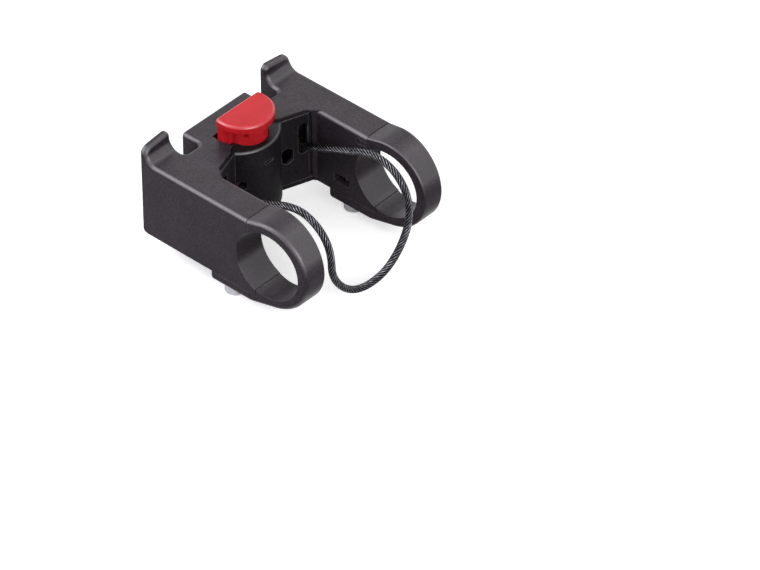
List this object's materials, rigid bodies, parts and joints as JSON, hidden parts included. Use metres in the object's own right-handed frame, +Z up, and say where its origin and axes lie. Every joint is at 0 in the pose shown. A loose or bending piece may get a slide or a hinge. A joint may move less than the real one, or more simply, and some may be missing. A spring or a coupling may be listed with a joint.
{
  "type": "bicycle handlebar bag mount",
  "caption": "Moulded mount that clamps round a handlebar on both sides of the stem, with upturned hooks, a red release button and a steel safety cable.",
  "frame": {"origin": "middle of the handlebar's axis", "axes": "+X along the handlebar to the rider's right, +Y forward to the bag, +Z up"},
  "size_m": [0.0864, 0.0919, 0.0574],
  "materials": {
    "frame_black": "fine-grained matt moulding",
    "housing_black": "matt moulding",
    "button_red": "satin moulding",
    "spring_steel": "bright wire",
    "cable_steel": "twisted wire rope",
    "zinc_steel": "zinc plated",
    "barrel_brass": "turned",
    "ferrule_aluminium": "crimped sleeve"
  },
  "bodies": {
    "mount": {"adapter_frame": "frame_black", "latch_housing": "housing_black", "bottom_cover": "housing_black", "cover_screws": "zinc_steel", "button_spring": "spring_steel", "steel_cable": "cable_steel", "clamp_cap_left": "frame_black", "clamp_screw_left": "zinc_steel", "clamp_washer_left": "zinc_steel", "clamp_nut_left": "zinc_steel", "cable_barrel_left": "barrel_brass", "barrel_screw_left": "zinc_steel", "cable_ferrule_left": "ferrule_aluminium", "clamp_cap_right": "frame_black", "clamp_screw_right": "zinc_steel", "clamp_washer_right": "zinc_steel", "clamp_nut_right": "zinc_steel", "cable_barrel_right": "barrel_brass", "barrel_screw_right": "zinc_steel", "cable_ferrule_right": "ferrule_aluminium"},
    "button": {"release_button": "button_red"}
  },
  "joints": [
    {"name": "button_press", "type": "slide", "parent": "mount", "child": "button", "axis": [0, 0, -1], "range_m": [0, 0.005], "stiffness_N_per_m": 600, "springref_m": -0.004, "deforming": ["button_spring"]}
  ]
}
